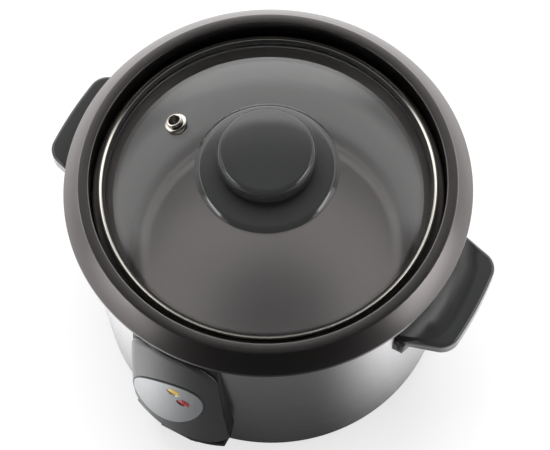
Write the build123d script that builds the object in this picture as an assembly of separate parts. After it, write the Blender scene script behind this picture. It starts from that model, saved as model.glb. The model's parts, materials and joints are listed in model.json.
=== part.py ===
from build123d import *
import os
from math import asin, cos, degrees, radians, sin, sqrt

# Electric cooker: a coated bowl that lifts out of a heated well, under a domed glass lid.
# Millimetres, +Z up. The origin is on the ground plane, below the bowl's axis.
# The control pod faces -Y and the two carry handles point along +X and -X.

# Stand and base
FOOT_H = 5.0
FOOT_R = 9.0
FOOT_TAPER = 1.5
FOOT_COUNT = 4
FOOT_FIRST_ANGLE = 45.0
FOOT_INSET = 21.5
FOOT_STUD_R = 2.2
FOOT_CAP_R = 3.6
FOOT_CAP_H = 2.0
BASE_T = 1.2
BASE_INSET = 5.1
BASE_SLOT_COUNT = 24
BASE_SLOT_W = 3.0
BASE_SLOT_IN_R = 54.0
BASE_SLOT_OUT_R = 68.0
BASE_SCREW_COUNT = 3
BASE_SCREW_FIRST_ANGLE = 90.0
BASE_SCREW_INSET = 8.6
BASE_SCREW_R = 1.5
BASE_SCREW_HEAD_R = 3.0
BASE_SCREW_HEAD_H = 1.8
BASE_SCREW_REACH = 4.0

# Casing
CASING_H = 152.0
CASING_TAPER = 4.9
CASING_T = 0.8
CASING_FLANGE_W = 12.0
CASING_BOTTOM_BEND = 4.0
CASING_TOP_BEND = 3.0

# Bowl
BOWL_T = 1.5
RIM_R = 120.0
RIM_OVERHANG = 6.5
RIM_LIP_H = 2.0
RIM_SKIRT = 1.0
RIM_BAND_W = 9.4
RIM_BAND_H = 9.7
RIM_RING_W = 6.3
LEDGE_DROP = 15.9
LEDGE_W = 9.3
BOWL_TAPER = 8.0
BOWL_CORNER_R = 20.0
RIM_LIP_BEND = 1.8
RIM_RING_BEND = 3.0
RECESS_BEND = 1.5
LEDGE_BEND = 2.2

# Well around the bowl
PAN_T = 0.8
PAN_FLANGE_W = 4.0
PAN_NECK_H = 10.0
PAN_BEND = 1.2
PAN_NECK_BEND = 3.2
PAN_BOWL_CLEAR = 4.0
PAN_LIFT = 36.5
PAN_CORNER_R = 8.0
PAN_NECK_CLEAR = 0.8

# Heater
HEATER_R = 66.0
HEATER_T = 12.0
HEATER_EDGE_R = 1.5
ELEMENT_R = 4.5
ELEMENT_CIRCLE_R = 48.0
TERMINAL_R = 2.0
TERMINAL_DROP = 16.0
TERMINAL_ANGLES = (65.0, 115.0)
TERMINAL_HOLE_CLEAR = 3.5
POST_COUNT = 3
POST_FIRST_ANGLE = 30.0
POST_R = 4.5
POST_H = 8.2
POST_CIRCLE_R = 57.5
POST_SCREW_R = 1.6
POST_SCREW_HEAD_R = 3.2
POST_SCREW_HEAD_H = 2.0
POST_SCREW_DEPTH = 6.5

# Thermostat
SENSOR_R = 15.0
SENSOR_T = 1.5
SENSOR_H = 14.0
SENSOR_HOLE_CLEAR = 1.5
FERRITE_R = 9.0
FERRITE_T = 3.0
TUBE_R = 11.0
TUBE_T = 1.5
TUBE_TOP_DROP = 7.7
TUBE_BOTTOM_DROP = 10.7
TUBE_FLANGE_R = 18.0
TUBE_FLANGE_T = 1.0
MAGNET_R = 8.0
MAGNET_T = 5.0
MAGNET_GAP = 7.8
ROD_R = 2.0
COLLAR_R = 5.0
COLLAR_T = 2.0
ROD_PAST_FORK = 4.0
SPRING_WIRE_R = 0.45
SENSOR_SPRING_TURNS = 5
MAGNET_SPRING_R = 3.6
MAGNET_SPRING_TURNS = 5
SPRING_END_CLEAR = 0.2

# Cook lever
LEVER_Z = 16.0
PIVOT_IN = 46.6
PIVOT_R = 1.5
LEVER_PRESS = 5.5
ARM_W = 8.0
ARM_T = 2.0
HUB_R = 3.4
FORK_W = 13.0
FORK_PAST = 4.0
FORK_CLEAR = 0.3
FORK_LIFT_CLEAR = 0.6
BRACKET_T = 1.5
BRACKET_L = 14.0
BRACKET_GAP = 0.4
PADDLE_W = 21.0
PADDLE_L = 9.6
PADDLE_SHY = 1.4
PADDLE_TOP_GAP = 2.0
PADDLE_FLOOR_T = 1.8
PADDLE_EDGE_R = 1.2
PADDLE_UNDER_T = 1.2
PADDLE_NOSE_H = 4.5
PADDLE_NOSE_SLOPE_W = 3.2
PADDLE_NOSE_SLOPE_H = 2.0
PADDLE_FOOT_L = 3.8
PADDLE_GRIP = 3.2
PADDLE_CLEAR = 0.9
SWITCH_OUT = 23.0
SWITCH_L = 20.0
SWITCH_W = 10.0
SWITCH_H = 5.3
PLUNGER_R = 1.5
PLUNGER_DEPTH = 2.5
PLUNGER_CLEAR = 0.3

# Control pod
POD_AXIS_IN = 56.2
POD_TOP_R = 62.0
POD_FACE_R = 67.6
POD_WAIST_R = 68.7
POD_CHIN_R = 64.0
POD_CHIN_Z = 20.0
POD_FOOT_R = 58.6
POD_TOP_DROP = 5.7
POD_BOTTOM_Z = 5.6
FRAME_TOP_HALF_W = 27.6
FRAME_WIDE_HALF_W = 31.2
FRAME_WIDE_Z = 46.0
FRAME_BOTTOM_HALF_W = 26.5
FRAME_TOP_CORNER_R = 6.0
FRAME_SIDE_R = 40.0
FRAME_BOTTOM_CORNER_R = 16.0
FRAME_WALL = 2.4
COVER_T = 2.4
COVER_BOTTOM_Z = 39.0
COVER_TOP_DROP = 2.5
COVER_BOTTOM_HALF_W = 34.0
COVER_TOP_HALF_W = 27.4
COVER_TOP_CORNER_R = 24.0
COVER_BOTTOM_CORNER_R = 3.0
FRAME_LIP_W = 3.6
LABEL_T = 0.5
LABEL_X = -4.1
LABEL_DOWN = 10.5
LABEL_HALF_L = 37.0
LABEL_HALF_W = 21.0
LABEL_TURN = 59.0
LENS_R = 4.0
LENS_DOME = 1.6
AMBER_X = 3.5
AMBER_UP = 12.2
RED_X = 9.4
RED_UP = 1.6
BOARD_W = 28.0
BOARD_H = 24.0
BOARD_T = 1.6
BOARD_OUT = 58.3
BOARD_BOSS_R = 2.5
BOARD_BOSS_X = 10.6
LAMP_R = 1.8

# Carry handles
HANDLE_TOP_DROP = 29.0
HANDLE_T = 10.0
HANDLE_ROOT_HALF_W = 41.0
HANDLE_AXIS_HALF_W = 71.0
HANDLE_TIP_HALF_W = 31.0
HANDLE_OUT = 19.0
HANDLE_BOW = 2.0
HANDLE_CORNER_R = 12.0
HANDLE_TOP_EDGE_R = 2.4
HANDLE_WALL = 2.6
HANDLE_SKIN = 3.0
HANDLE_RIB_COUNT = 3
HANDLE_RIB_PITCH = 17.0
HANDLE_ROOT_H = 17.0
HANDLE_ROOT_T = 6.0
HANDLE_SCREW_Y = 24.0
HANDLE_SCREW_R = 1.6
HANDLE_SCREW_HEAD_R = 3.6
HANDLE_SCREW_HEAD_H = 2.0
HANDLE_SCREW_DEPTH = 4.5

# Lid
GLASS_DOME_R = 190.0
GLASS_T = 3.8
GLASS_EDGE_IN = 3.5
GLASS_EDGE_LIFT = 0.95
LID_CLEAR = 4.8
LID_RIM_T = 0.7
LID_LIP_W = 5.5
LID_LIP_OVER = 1.0
LID_LIP_DROP = 2.4
LID_RIM_BEND = 1.1
KNOB_FLANGE_R = 41.9
KNOB_FLANGE_EDGE = 2.2
KNOB_FLANGE_ROUND = 0.9
KNOB_FLANGE_CROWN_R = 170.0
KNOB_SEAT_T = 1.2
KNOB_NECK_R = 17.0
KNOB_NECK_H = 3.0
KNOB_R = 28.4
KNOB_SIDE_H = 10.0
KNOB_CROWN = 4.0
KNOB_EDGE_R = 3.2
KNOB_UNDER_R = 25.0
KNOB_UNDER_H = 1.6
KNOB_SCREW_R = 2.4
KNOB_SCREW_DEPTH = 12.0
KNOB_SCREW_HEAD_R = 6.0
KNOB_SCREW_HEAD_H = 2.6
KNOB_SCREW_ROUND = 1.0
WASHER_R = 11.0
WASHER_T = 2.0
VENT_IN = 37.2
VENT_ANGLE = 177.5
VENT_FLANGE_R = 6.7
VENT_TUBE_R = 4.8
VENT_HOLE_R = 3.4
VENT_H = 4.4
VENT_LIP_T = 0.9

# Appliance inlet
INLET_Z = 25.0
INLET_W = 30.0
INLET_H = 24.0
INLET_WALL = 3.2
INLET_FLANGE_W = 3.0
INLET_FLANGE_T = 1.5
INLET_SOCKET_DEPTH = 17.0
INLET_BACK_T = 8.0
INLET_PIN_R = 2.0
INLET_PIN_GAP = 13.0
INLET_PIN_OUT = 11.0
INLET_PIN_TAIL = 7.0
INLET_EARTH_UP = 5.0

# Thermal fuse
FUSE_R = 2.8
FUSE_L = 14.0
FUSE_Y = 40.0
FUSE_STRAP_W = 10.0
FUSE_STRAP_T = 0.8

# Fits
SEAT_CLEAR = 0.1
SCREW_CLEAR = 0.2
RUN_CLEAR = 0.05
WALL_CLEAR = 0.2
SLOT_CLEAR = 1.5

# Radii and heights that follow from the sizes above
CASING_TOP_R = RIM_R - RIM_OVERHANG
CASING_BOTTOM_R = CASING_TOP_R - CASING_TAPER
BASE_R = CASING_BOTTOM_R - BASE_INSET
BASE_SCREW_CIRCLE_R = CASING_BOTTOM_R - BASE_SCREW_INSET
FOOT_CIRCLE_R = BASE_R - FOOT_INSET
CASING_Z = FOOT_H + BASE_T
CASING_TOP_Z = CASING_Z + CASING_H
RIM_Z = CASING_TOP_Z - RIM_SKIRT
RING_Z = RIM_Z + RIM_BAND_H
RING_OUT_R = RIM_R - RIM_BAND_W
RECESS_R = RING_OUT_R - RIM_RING_W
LEDGE_Z = RING_Z - LEDGE_DROP
BOWL_R = RECESS_R - LEDGE_W
PAN_Z = CASING_Z + PAN_LIFT
PAN_FLOOR_Z = PAN_Z + PAN_T
PAN_BOTTOM_R = BOWL_R + PAN_BOWL_CLEAR
PAN_NECK_R = RECESS_R + BOWL_T + PAN_NECK_CLEAR + PAN_T
CASING_COLLAR_R = PAN_NECK_R + PAN_BEND + WALL_CLEAR
HEATER_Z = PAN_FLOOR_Z + POST_H
HEATER_TOP_Z = HEATER_Z + HEATER_T
BOWL_FLOOR_Z = HEATER_TOP_Z + BOWL_T
SENSOR_HOLE_R = SENSOR_R + SENSOR_HOLE_CLEAR
FERRITE_Z = HEATER_TOP_Z - SENSOR_T - FERRITE_T
TUBE_TOP_Z = HEATER_TOP_Z - TUBE_TOP_DROP
TUBE_Z = PAN_Z - TUBE_BOTTOM_DROP
MAGNET_Z = FERRITE_Z - MAGNET_GAP - MAGNET_T
COLLAR_Z = LEVER_Z + ARM_T / 2 + FORK_LIFT_CLEAR
POD_AXIS_Y = POD_AXIS_IN - CASING_TOP_R
POD_TOP_Z = RIM_Z - POD_TOP_DROP
POD_FACE_Z = (POD_TOP_Z + COVER_BOTTOM_Z) / 2
COVER_TOP_Z = POD_TOP_Z - COVER_TOP_DROP
LABEL_Z = POD_FACE_Z - LABEL_DOWN
AMBER_Z = POD_FACE_Z + AMBER_UP
RED_Z = POD_FACE_Z + RED_UP
BOARD_BACK_Y = POD_AXIS_Y - BOARD_OUT
PIVOT_Y = PIVOT_IN - CASING_BOTTOM_R
SWITCH_Y = PIVOT_Y - SWITCH_OUT
PLUNGER_TRAVEL = SWITCH_OUT * radians(LEVER_PRESS)
PADDLE_NOSE_Y = POD_AXIS_Y - POD_WAIST_R + PADDLE_SHY
PADDLE_ROOT_Y = PADDLE_NOSE_Y + PADDLE_L
PADDLE_TOP_Z = COVER_BOTTOM_Z - PADDLE_TOP_GAP
HANDLE_TOP_Z = RIM_Z - HANDLE_TOP_DROP
HANDLE_REACH = RIM_R + HANDLE_OUT
LID_RIM_R = RECESS_R - LID_CLEAR
LID_LIP_IN_R = LID_RIM_R - LID_LIP_W
GLASS_EDGE_R = LID_RIM_R - GLASS_EDGE_IN
VENT_R = LID_RIM_R - VENT_IN
GLASS_DROP = GLASS_DOME_R - sqrt((GLASS_DOME_R - GLASS_T) ** 2 - GLASS_EDGE_R**2)
GLASS_TOP_Z = LEDGE_Z + GLASS_EDGE_LIFT + GLASS_DROP
KNOB_SEAT_Z = GLASS_TOP_Z + KNOB_SEAT_T
KNOB_HOLE_R = KNOB_SCREW_R + SCREW_CLEAR


def casing_radius(z):
    """Outer radius of the tapered casing wall at a height."""
    return CASING_BOTTOM_R + (CASING_TOP_R - CASING_BOTTOM_R) * (z - CASING_Z) / CASING_H


def casing_cone(extra):
    """The casing's tapered form, grown by a distance, as a cutter for what sits on the wall."""
    low = casing_radius(0) + extra
    high = casing_radius(RING_Z) + extra
    return Pos(0, 0, RING_Z / 2) * Cone(low, high, RING_Z)


def dome_height(r, lift=0.0):
    """Height of the lid glass's outer face at a radius, or of a face that lies above it."""
    return GLASS_TOP_Z - GLASS_DOME_R + sqrt((GLASS_DOME_R + lift) ** 2 - r**2)


def dome_arc(inner, outer, lift):
    """Arc along the lid's dome between two radii, lifted off the glass's outer face."""
    places = [(r, dome_height(r, lift)) for r in (inner, (inner + outer) / 2, outer)]
    return ThreePointArc(*places)


def spun(section):
    """Turned solid from a section in radius and height."""
    return revolve(Plane.XZ * section, Axis.Z)


def turned(*points):
    """Turned solid from a closed outline of radius and height points."""
    return spun(make_face(Polyline(*points, close=True)))


def pressed_sheet(points, bends, thickness, side):
    """Turned sheet: one face follows the points with rounded bends, the wall lies on the given side."""
    line = FilletPolyline(*points, radius=bends)
    return spun(make_face(offset(line, thickness, side=side, closed=True)))


def rod(radius, low, high, x=0, y=0):
    """Upright cylinder between two heights."""
    return Pos(x, y, (low + high) / 2) * Cylinder(radius, high - low)


def rod_along_y(radius, start, end, x, z):
    """Cylinder along Y between two places."""
    return Pos(x, (start + end) / 2, z) * Rot(90, 0, 0) * Cylinder(radius, abs(end - start))


def block(x0, x1, y0, y1, z0, z1):
    """Box between two corners."""
    return Pos((x0 + x1) / 2, (y0 + y1) / 2, (z0 + z1) / 2) * Box(x1 - x0, y1 - y0, z1 - z0)


def ring_places(count, radius, first):
    """Points evenly spaced on a circle."""
    step = 360.0 / count
    angles = [radians(first + step * i) for i in range(count)]
    return [(radius * cos(a), radius * sin(a)) for a in angles]


def coil(radius, wire, low, high, turns):
    """Helical spring standing between two heights."""
    height = high - low - 2 * wire
    path = Helix(height / turns, height, radius)
    section = Plane(path @ 0, z_dir=path % 0) * Circle(wire)
    return Pos(0, 0, low + wire) * sweep(section, path)


def base_screw_places():
    return ring_places(BASE_SCREW_COUNT, BASE_SCREW_CIRCLE_R, BASE_SCREW_FIRST_ANGLE)


def foot_places():
    return ring_places(FOOT_COUNT, FOOT_CIRCLE_R, FOOT_FIRST_ANGLE)


def terminal_places():
    angles = [radians(a) for a in TERMINAL_ANGLES]
    return [(ELEMENT_CIRCLE_R * cos(a), ELEMENT_CIRCLE_R * sin(a)) for a in angles]


def post_places():
    return ring_places(POST_COUNT, POST_CIRCLE_R, POST_FIRST_ANGLE)


# Base plate, feet and base screws
def make_base_plate():
    plate = rod(BASE_R, FOOT_H, CASING_Z)
    slot_mid = (BASE_SLOT_IN_R + BASE_SLOT_OUT_R) / 2
    slot = SlotOverall(BASE_SLOT_OUT_R - BASE_SLOT_IN_R, BASE_SLOT_W)
    slots = [place * slot for place in PolarLocations(slot_mid, BASE_SLOT_COUNT)]
    plate -= extrude(Pos(0, 0, FOOT_H) * (Sketch() + slots), BASE_T)
    for x, y in foot_places():
        plate -= rod(FOOT_STUD_R + RUN_CLEAR, FOOT_H, CASING_Z, x, y)
    for x, y in base_screw_places():
        plate -= rod(BASE_SCREW_R + SCREW_CLEAR, FOOT_H, CASING_Z, x, y)
    return plate


def make_feet():
    pad = turned((0, 0), (FOOT_R - FOOT_TAPER, 0), (FOOT_R, FOOT_H), (0, FOOT_H))
    pad += rod(FOOT_STUD_R, FOOT_H, CASING_Z)
    pad += rod(FOOT_CAP_R, CASING_Z, CASING_Z + FOOT_CAP_H)
    return Compound([Pos(x, y, 0) * pad for x, y in foot_places()])


def make_base_screws():
    screw = rod(BASE_SCREW_HEAD_R, FOOT_H - BASE_SCREW_HEAD_H, FOOT_H)
    screw += rod(BASE_SCREW_R, FOOT_H, CASING_Z + BASE_SCREW_REACH)
    return Compound([Pos(x, y, 0) * screw for x, y in base_screw_places()])


# Casing: one tapered drawn shell with a turned-in foot and collar
def handle_screw_angles():
    lean = degrees(asin(HANDLE_SCREW_Y / casing_radius(handle_screw_z())))
    return [side + lean * sign for side in (0, 180) for sign in (1, -1)]


def handle_screw_z():
    return HANDLE_TOP_Z - HANDLE_ROOT_H / 2


def arm_slot(outer_y):
    """Clear way for the lever arm through the wall, over its whole swing."""
    drop = (PIVOT_Y - outer_y) * sin(radians(LEVER_PRESS))
    low = LEVER_Z - ARM_T / 2 - drop - SLOT_CLEAR
    high = LEVER_Z + ARM_T / 2 + SLOT_CLEAR
    half = ARM_W / 2 + SLOT_CLEAR
    return block(-half, half, outer_y, PIVOT_Y, low, high)


def make_casing():
    flange_in = CASING_BOTTOM_R - CASING_FLANGE_W
    points = [
        (flange_in, CASING_Z),
        (CASING_BOTTOM_R, CASING_Z),
        (CASING_TOP_R, CASING_TOP_Z),
        (CASING_COLLAR_R, CASING_TOP_Z),
    ]
    shell = pressed_sheet(points, [CASING_BOTTOM_BEND, CASING_TOP_BEND], CASING_T, Side.LEFT)
    shell -= arm_slot(PADDLE_ROOT_Y)
    half_w = INLET_W / 2 + WALL_CLEAR
    half_h = INLET_H / 2 + WALL_CLEAR
    shell -= block(-half_w, half_w, 0, RIM_R, INLET_Z - half_h, INLET_Z + half_h)
    for x, y in base_screw_places():
        shell -= rod(BASE_SCREW_R + SCREW_CLEAR, CASING_Z, CASING_Z + CASING_T, x, y)
    for angle in handle_screw_angles():
        bore = Pos(RIM_R / 2, 0, handle_screw_z()) * Rot(0, 90, 0)
        bore *= Cylinder(HANDLE_SCREW_R + SCREW_CLEAR, RIM_R)
        shell -= Rot(0, 0, angle) * bore
    return shell


# Well that the bowl hangs in, with the heater on its floor
def make_inner_pan():
    points = [
        (PAN_NECK_R + PAN_FLANGE_W, CASING_TOP_Z),
        (PAN_NECK_R, CASING_TOP_Z),
        (PAN_NECK_R, CASING_TOP_Z - PAN_NECK_H),
        (PAN_BOTTOM_R, PAN_Z),
        (TUBE_R + WALL_CLEAR, PAN_Z),
    ]
    bends = [PAN_BEND, PAN_NECK_BEND, PAN_CORNER_R]
    pan = pressed_sheet(points, bends, PAN_T, Side.RIGHT)
    for x, y in terminal_places():
        pan -= rod(TERMINAL_R + TERMINAL_HOLE_CLEAR, PAN_Z, PAN_FLOOR_Z, x, y)
    for x, y in post_places():
        pan -= rod(POST_SCREW_R + SCREW_CLEAR, PAN_Z, PAN_FLOOR_Z, x, y)
    return pan


def make_heater_plate():
    plate = rod(HEATER_R, HEATER_Z, HEATER_TOP_Z)
    plate = fillet(plate.edges(), HEATER_EDGE_R)
    plate += Pos(0, 0, HEATER_Z) * Torus(ELEMENT_CIRCLE_R, ELEMENT_R)
    plate -= rod(SENSOR_HOLE_R, HEATER_Z - ELEMENT_R, HEATER_TOP_Z)
    for x, y in terminal_places():
        plate -= rod(TERMINAL_R + RUN_CLEAR, HEATER_Z - ELEMENT_R, HEATER_Z, x, y)
    for x, y in post_places():
        plate -= rod(POST_SCREW_R + SCREW_CLEAR, HEATER_Z, HEATER_Z + POST_SCREW_DEPTH, x, y)
    return plate


def make_heater_terminals():
    low = HEATER_Z - TERMINAL_DROP
    return Compound([rod(TERMINAL_R, low, HEATER_Z, x, y) for x, y in terminal_places()])


def make_heater_posts():
    posts = []
    for x, y in post_places():
        post = rod(POST_R, PAN_FLOOR_Z, HEATER_Z, x, y)
        posts.append(post - rod(POST_SCREW_R + SCREW_CLEAR, PAN_FLOOR_Z, HEATER_Z, x, y))
    return Compound(posts)


def make_heater_screws():
    screws = []
    for x, y in post_places():
        screw = rod(POST_SCREW_HEAD_R, PAN_Z - POST_SCREW_HEAD_H, PAN_Z, x, y)
        screw += rod(POST_SCREW_R, PAN_Z, HEATER_Z + POST_SCREW_DEPTH - SCREW_CLEAR, x, y)
        screws.append(screw)
    return Compound(screws)


def make_thermal_fuse():
    half_l = FUSE_L / 2
    half_w = FUSE_STRAP_W / 2
    strap_z = PAN_Z - FUSE_STRAP_T
    strap = block(-half_l, half_l, FUSE_Y - half_w, FUSE_Y + half_w, strap_z, PAN_Z)
    body = Pos(0, FUSE_Y, strap_z - FUSE_R / 2) * Rot(0, 90, 0) * Cylinder(FUSE_R, FUSE_L)
    return strap + (body - block(-FUSE_L, FUSE_L, 0, 2 * FUSE_Y, strap_z, strap_z + FUSE_R))


# Thermostat: the cap feels the bowl, the magnet below it holds the cook lever down
def make_sensor_cap():
    low = HEATER_TOP_Z - SENSOR_H
    cap = rod(SENSOR_R, low, HEATER_TOP_Z)
    return cap - rod(SENSOR_R - SENSOR_T, low, HEATER_TOP_Z - SENSOR_T)


def make_ferrite_disc():
    return rod(FERRITE_R, FERRITE_Z, FERRITE_Z + FERRITE_T)


def make_thermostat_tube():
    tube = rod(TUBE_R, TUBE_Z, TUBE_TOP_Z)
    tube += rod(TUBE_FLANGE_R, PAN_FLOOR_Z, PAN_FLOOR_Z + TUBE_FLANGE_T)
    tube -= rod(TUBE_R - TUBE_T, TUBE_Z + TUBE_T, TUBE_TOP_Z)
    return tube - rod(ROD_R + RUN_CLEAR, TUBE_Z, TUBE_Z + TUBE_T)


def make_sensor_spring():
    low = PAN_FLOOR_Z + TUBE_FLANGE_T + SPRING_END_CLEAR
    high = HEATER_TOP_Z - SENSOR_T - SPRING_END_CLEAR
    radius = (TUBE_R + SENSOR_R - SENSOR_T) / 2
    return coil(radius, SPRING_WIRE_R, low, high, SENSOR_SPRING_TURNS)


def make_magnet():
    return rod(MAGNET_R, MAGNET_Z, MAGNET_Z + MAGNET_T)


def make_magnet_rod():
    stem = rod(ROD_R, LEVER_Z - ARM_T / 2 - ROD_PAST_FORK, MAGNET_Z)
    return stem + rod(COLLAR_R, COLLAR_Z, COLLAR_Z + COLLAR_T)


def make_magnet_spring():
    low = COLLAR_Z + COLLAR_T + SPRING_END_CLEAR
    high = TUBE_Z - SPRING_END_CLEAR
    return coil(MAGNET_SPRING_R, SPRING_WIRE_R, low, high, MAGNET_SPRING_TURNS)


# Cook lever: a thumb paddle outside, a steel arm inside that lifts the magnet
def make_lever_arm():
    half_w = ARM_W / 2
    low = LEVER_Z - ARM_T / 2
    high = LEVER_Z + ARM_T / 2
    arm = block(-half_w, half_w, PADDLE_ROOT_Y - PADDLE_GRIP, FORK_PAST, low, high)
    arm += block(-FORK_W / 2, FORK_W / 2, -COLLAR_R - ARM_T, FORK_PAST, low, high)
    arm += Pos(0, PIVOT_Y, LEVER_Z) * Rot(0, 90, 0) * Cylinder(HUB_R, ARM_W)
    arm -= Pos(0, PIVOT_Y, LEVER_Z) * Rot(0, 90, 0) * Cylinder(PIVOT_R + RUN_CLEAR, ARM_W)
    gap = ROD_R + FORK_CLEAR
    return arm - block(-gap, gap, -gap, FORK_PAST, low, high)


def make_lever_paddle():
    root_z = LEVER_Z - ARM_T / 2 - PADDLE_UNDER_T
    nose_z = PADDLE_TOP_Z - PADDLE_NOSE_H
    section = Polyline(
        (PADDLE_ROOT_Y, root_z),
        (PADDLE_ROOT_Y, PADDLE_TOP_Z),
        (PADDLE_NOSE_Y + PADDLE_NOSE_SLOPE_W, PADDLE_TOP_Z),
        (PADDLE_NOSE_Y, PADDLE_TOP_Z - PADDLE_NOSE_SLOPE_H),
        (PADDLE_NOSE_Y, nose_z),
        (PADDLE_ROOT_Y - PADDLE_FOOT_L, root_z),
        close=True,
    )
    paddle = extrude(Plane.YZ * make_face(section), PADDLE_W / 2, both=True)
    front = paddle.edges().filter_by(Axis.X).group_by(Axis.Y)[0]
    paddle = fillet(front, PADDLE_EDGE_R)
    half_w = ARM_W / 2 + RUN_CLEAR
    half_t = ARM_T / 2 + RUN_CLEAR
    end_y = PADDLE_ROOT_Y - PADDLE_GRIP - RUN_CLEAR
    return paddle - block(-half_w, half_w, end_y, PADDLE_ROOT_Y, LEVER_Z - half_t, LEVER_Z + half_t)


def bracket_half_w():
    return ARM_W / 2 + BRACKET_GAP + BRACKET_T


def make_lever_bracket():
    half_w = bracket_half_w()
    inner = half_w - BRACKET_T
    y0 = PIVOT_Y - BRACKET_L / 2
    y1 = PIVOT_Y + BRACKET_L / 2
    top = LEVER_Z + HUB_R
    bracket = block(-half_w, half_w, y0, y1, CASING_Z, top)
    bracket -= block(-inner, inner, y0, y1, CASING_Z + BRACKET_T, top)
    hole = Pos(0, PIVOT_Y, LEVER_Z) * Rot(0, 90, 0) * Cylinder(PIVOT_R + RUN_CLEAR, 2 * half_w)
    return bracket - hole


def make_lever_pin():
    length = 2 * bracket_half_w() + BRACKET_T
    return Pos(0, PIVOT_Y, LEVER_Z) * Rot(0, 90, 0) * Cylinder(PIVOT_R, length)


def plunger_top():
    return LEVER_Z - ARM_T / 2 - PLUNGER_CLEAR


def make_switch_body():
    top = CASING_Z + SWITCH_H
    y0 = SWITCH_Y - SWITCH_W / 2
    body = block(-SWITCH_L / 2, SWITCH_L / 2, y0, y0 + SWITCH_W, CASING_Z, top)
    floor = CASING_Z + SWITCH_H - PLUNGER_DEPTH - PLUNGER_TRAVEL
    return body - rod(PLUNGER_R + RUN_CLEAR, floor, top, 0, SWITCH_Y)


def make_switch_plunger():
    return rod(PLUNGER_R, CASING_Z + SWITCH_H - PLUNGER_DEPTH, plunger_top(), 0, SWITCH_Y)


# Control pod: a black frame against the casing and a bulging cover in front of it
def pod_barrel(inset):
    """Bulging form of the pod's front, pulled in by a distance."""
    waist = (POD_WAIST_R - inset, COVER_BOTTOM_Z)
    face = ThreePointArc((POD_TOP_R - inset, POD_TOP_Z), (POD_FACE_R - inset, POD_FACE_Z), waist)
    foot = (POD_FOOT_R - inset, POD_BOTTOM_Z)
    chin = ThreePointArc(waist, (POD_CHIN_R - inset, POD_CHIN_Z), foot)
    sides = Polyline(chin @ 1, (0, POD_BOTTOM_Z), (0, POD_TOP_Z), face @ 0)
    return Pos(0, POD_AXIS_Y, 0) * spun(make_face([face, chin, sides]))


def pod_prism(outline):
    """Outline in width and height, drawn out towards the front."""
    return extrude(Plane.XZ.offset(-POD_AXIS_Y) * outline, POD_WAIST_R + FRAME_WALL)


def frame_outline(inset):
    points = [
        (-FRAME_BOTTOM_HALF_W, POD_BOTTOM_Z),
        (FRAME_BOTTOM_HALF_W, POD_BOTTOM_Z),
        (FRAME_WIDE_HALF_W, FRAME_WIDE_Z),
        (FRAME_TOP_HALF_W, POD_TOP_Z),
        (-FRAME_TOP_HALF_W, POD_TOP_Z),
        (-FRAME_WIDE_HALF_W, FRAME_WIDE_Z),
    ]
    bends = [
        FRAME_BOTTOM_CORNER_R,
        FRAME_BOTTOM_CORNER_R,
        FRAME_SIDE_R,
        FRAME_TOP_CORNER_R,
        FRAME_TOP_CORNER_R,
        FRAME_SIDE_R,
    ]
    face = make_face(FilletPolyline(*points, radius=bends, close=True))
    return offset(face, -inset) if inset else face


def cover_outline(inset):
    points = [
        (-COVER_BOTTOM_HALF_W, COVER_BOTTOM_Z),
        (COVER_BOTTOM_HALF_W, COVER_BOTTOM_Z),
        (COVER_TOP_HALF_W, COVER_TOP_Z),
        (-COVER_TOP_HALF_W, COVER_TOP_Z),
    ]
    bends = [COVER_BOTTOM_CORNER_R] * 2 + [COVER_TOP_CORNER_R] * 2
    face = make_face(FilletPolyline(*points, radius=bends, close=True))
    return offset(face, -inset) if inset else face


def lens_places():
    return {"lens_amber": (AMBER_X, AMBER_Z), "lens_red": (RED_X, RED_Z)}


def face_y(x, z):
    """Place of the cover's front face at a width and height."""
    line = Pos(x, 0, z) * Line((0, POD_AXIS_Y, 0), (0, POD_AXIS_Y - 2 * POD_WAIST_R, 0))
    inside = pod_barrel(0) & line
    return min(v.Y for v in inside.vertices())


def make_pod_cover():
    cover = (pod_barrel(0) & pod_prism(cover_outline(0))) - pod_barrel(COVER_T)
    for x, z in lens_places().values():
        cover -= rod_along_y(LENS_R + RUN_CLEAR, -RIM_R / 2, -2 * RIM_R, x, z)
    return cover


def board_mid():
    return (AMBER_X + RED_X) / 2, (AMBER_Z + RED_Z) / 2


def make_pod_frame():
    outer = pod_prism(frame_outline(0))
    frame = pod_barrel(COVER_T + SEAT_CLEAR) & outer
    chin = block(-RIM_R, RIM_R, -2 * RIM_R, 0, 0, COVER_BOTTOM_Z - WALL_CLEAR)
    frame += pod_barrel(0) & outer & chin
    frame -= casing_cone(SEAT_CLEAR)
    hollow = pod_prism(cover_outline(FRAME_LIP_W))
    frame -= hollow - casing_cone(SEAT_CLEAR + FRAME_WALL)
    half_w = PADDLE_W / 2 + PADDLE_CLEAR
    recess = block(-half_w, half_w, -2 * RIM_R, 0, POD_BOTTOM_Z + PADDLE_FLOOR_T, COVER_BOTTOM_Z)
    frame -= recess - casing_cone(SEAT_CLEAR + FRAME_WALL)
    frame -= arm_slot(PADDLE_ROOT_Y)
    mid_x, mid_z = board_mid()
    for side in (-1, 1):
        boss = rod_along_y(BOARD_BOSS_R, 0, BOARD_BACK_Y, mid_x + side * BOARD_BOSS_X, mid_z)
        frame += boss - casing_cone(SEAT_CLEAR)
    return frame


def make_indicator_label():
    oval = Pos(LABEL_X, LABEL_Z) * Rot(0, 0, LABEL_TURN) * Ellipse(LABEL_HALF_L, LABEL_HALF_W)
    skin = pod_barrel(-LABEL_T) - pod_barrel(-RUN_CLEAR)
    label = skin & pod_prism(oval)
    for x, z in lens_places().values():
        label -= rod_along_y(LENS_R + RUN_CLEAR, -RIM_R / 2, -2 * RIM_R, x, z)
    return label


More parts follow.
